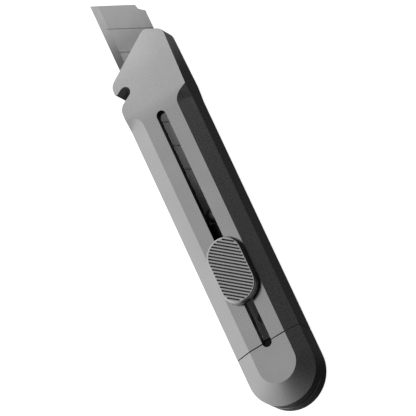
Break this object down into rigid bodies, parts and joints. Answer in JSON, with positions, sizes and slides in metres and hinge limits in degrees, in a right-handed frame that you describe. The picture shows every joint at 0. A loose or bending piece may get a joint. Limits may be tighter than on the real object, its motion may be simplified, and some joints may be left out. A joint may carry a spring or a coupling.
{
  "type": "utility knife",
  "caption": "Slim metal snap-off utility knife with a sliding ridged thumb button, cord-cutting notch and pull-off round tail cap with a snapping slit.",
  "frame": {"origin": "on the flat back face, on the knife's centre line, 75 mm from the tail end", "axes": "+X along the knife towards the blade's tip, +Y towards the cutting edge, +Z out of the front face with the thumb button"},
  "size_m": [0.1721, 0.026, 0.0155],
  "materials": {
    "anodised_body": "fine bead-blasted grey anodising, satin",
    "anodised_button": "machined grooves, grey anodised, satin",
    "blade_steel": "ground carbon steel, fine grain across the blade",
    "spring_steel": "cold-rolled, lightly brushed",
    "fastener_steel": "turned, lightly worn",
    "magnet": "nickel-plated, smooth",
    "dark_metal": "black-oxide steel, satin",
    "black_polymer": "moulded acetal, fine matt texture"
  },
  "bodies": {
    "body": {"body_shell": "anodised_body", "guide_channel": "spring_steel", "channel_screw_rear": "fastener_steel", "channel_screw_front": "fastener_steel", "body_magnet_left": "magnet", "body_magnet_right": "magnet"},
    "slider": {"blade_carrier": "dark_metal", "blade_peg": "fastener_steel", "blade": "blade_steel", "blade_clip": "spring_steel", "clip_rivet": "fastener_steel", "lock_spring": "spring_steel", "spring_rivet_rear": "fastener_steel", "spring_rivet_front": "fastener_steel"},
    "button": {"thumb_button": "anodised_button", "glide_shoe": "black_polymer", "button_stem": "dark_metal", "button_screw": "fastener_steel", "button_spring": "spring_steel"},
    "cap": {"tail_cap": "anodised_body", "cap_insert": "black_polymer", "cap_screw_left": "fastener_steel", "cap_screw_right": "fastener_steel", "cap_magnet_left": "magnet", "cap_magnet_right": "magnet"}
  },
  "joints": [
    {"name": "blade_slide", "type": "slide", "parent": "body", "child": "slider", "axis": [1, 0, 0], "range_m": [-0.03, 0.055], "deforming": ["lock_spring"]},
    {"name": "button_press", "type": "slide", "parent": "slider", "child": "button", "axis": [0, 0, 1], "range_m": [-0.0005, 0], "stiffness_N_per_m": 600, "deforming": ["button_spring"]},
    {"name": "cap_pull", "type": "slide", "parent": "body", "child": "cap", "axis": [-1, 0, 0], "range_m": [0, 0.03]}
  ]
}
